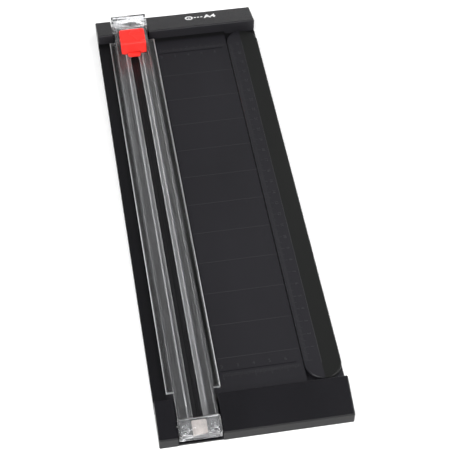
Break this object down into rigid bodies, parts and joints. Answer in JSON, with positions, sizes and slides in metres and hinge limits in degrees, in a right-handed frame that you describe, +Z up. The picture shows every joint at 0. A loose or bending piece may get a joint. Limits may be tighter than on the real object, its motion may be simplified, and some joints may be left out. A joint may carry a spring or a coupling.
{
  "type": "rotary paper trimmer",
  "caption": "Rotary paper trimmer: black board with wedge ends, clear hinged guide rail, red sliding press-to-cut head and a swing-out ruler.",
  "frame": {"origin": "middle of the board's footprint, on the surface the feet stand on", "axes": "+X across the board to the swing-out ruler's side, +Y along the cut towards the header where the rail is hinged, +Z up"},
  "size_m": [0.119, 0.373, 0.0239],
  "materials": {
    "black_plastic": "fine matte texture",
    "ruler_plastic": "fine matte texture with moulded graduations",
    "strip_plastic": "smooth matte",
    "clear_plastic": "clear acrylic, drawn lines",
    "red_plastic": "satin gloss",
    "nylon": "semi-matte off-white",
    "steel": "bright",
    "blade_steel": "ground",
    "rubber": "matte"
  },
  "bodies": {
    "base": {"base_board": "black_plastic", "front_end_cap": "black_plastic", "rear_end_cap": "black_plastic", "end_cap_screws": "steel", "cutting_strip": "strip_plastic", "hinge_pin": "steel", "foot_front_left": "rubber", "foot_front_right": "rubber", "foot_rear_left": "rubber", "foot_rear_right": "rubber"},
    "rail": {"guide_rail": "clear_plastic", "front_housing": "clear_plastic", "rear_housing": "clear_plastic", "lift_tab": "nylon", "housing_screws": "steel", "grip_strip_left": "rubber", "grip_strip_right": "rubber"},
    "runner": {"carriage": "red_plastic", "press_springs": "steel"},
    "press_head": {"cutter_cap": "red_plastic", "blade_holder": "nylon", "blade_axle": "steel", "axle_clips": "steel"},
    "blade": {"rotary_blade": "blade_steel", "blade_hub": "nylon"},
    "ruler": {"swing_ruler": "ruler_plastic", "pivot_washer": "steel", "pivot_screw": "steel"}
  },
  "joints": [
    {"name": "rail_hinge", "type": "hinge", "parent": "base", "child": "rail", "pos_m": [-0.0343, 0.1805, 0.0065], "axis": [-1, 0, 0], "range_deg": [0, 60]},
    {"name": "head_slide", "type": "slide", "parent": "rail", "child": "runner", "axis": [0, -1, 0], "range_m": [0, 0.312]},
    {"name": "head_press", "type": "slide", "parent": "runner", "child": "press_head", "axis": [0, 0, -1], "range_m": [0, 0.0018], "stiffness_N_per_m": 1500, "springref_m": -0.001, "deforming": ["press_springs"]},
    {"name": "blade_spin", "type": "hinge", "parent": "press_head", "child": "blade", "pos_m": [-0.0343, 0.1524, 0.0156], "axis": [1, 0, 0], "continuous": true},
    {"name": "ruler_swing", "type": "hinge", "parent": "base", "child": "ruler", "pos_m": [0.0478, 0.1485, 0.0078], "axis": [0, 0, 1], "range_deg": [0, 90]}
  ]
}
